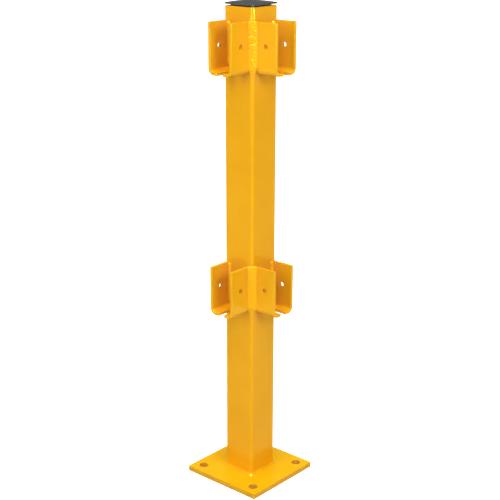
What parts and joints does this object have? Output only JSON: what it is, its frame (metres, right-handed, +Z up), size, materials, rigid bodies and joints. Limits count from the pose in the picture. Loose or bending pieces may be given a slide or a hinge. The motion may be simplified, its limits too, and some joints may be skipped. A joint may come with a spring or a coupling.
{
  "type": "guard rail corner post",
  "caption": "Square steel corner post on a bolt-down base plate, with open-topped bolted guard-rail sockets on two adjacent faces at two levels, and a push-in cap.",
  "frame": {"origin": "centre of the base plate's underside", "axes": "+Z up the post; X and Y square to the tube's faces, with -Y the front face and +X the right face"},
  "size_m": [0.2032, 0.2032, 1.0744],
  "materials": {
    "powder_coat": "gloss safety-yellow powder coat over welded steel",
    "cap_plastic": "satin black moulded polyethylene"
  },
  "bodies": {
    "root": {"base_plate": "powder_coat", "post_tube": "powder_coat", "base_weld": "powder_coat", "end_cap": "cap_plastic", "upper_front_ear_right": "powder_coat", "upper_front_ear_left": "powder_coat", "upper_right_ear_right": "powder_coat", "upper_right_ear_left": "powder_coat", "lower_front_ear_right": "powder_coat", "lower_front_ear_left": "powder_coat", "lower_right_ear_right": "powder_coat", "lower_right_ear_left": "powder_coat", "upper_corner_weld": "powder_coat", "upper_front_outer_weld_left": "powder_coat", "upper_right_outer_weld_right": "powder_coat", "lower_corner_weld": "powder_coat", "lower_front_outer_weld_left": "powder_coat", "lower_right_outer_weld_right": "powder_coat", "upper_front_inner_weld_right": "powder_coat", "upper_front_inner_weld_left": "powder_coat", "upper_right_inner_weld_right": "powder_coat", "upper_right_inner_weld_left": "powder_coat", "lower_front_inner_weld_right": "powder_coat", "lower_front_inner_weld_left": "powder_coat", "lower_right_inner_weld_right": "powder_coat", "lower_right_inner_weld_left": "powder_coat"}
  },
  "joints": []
}
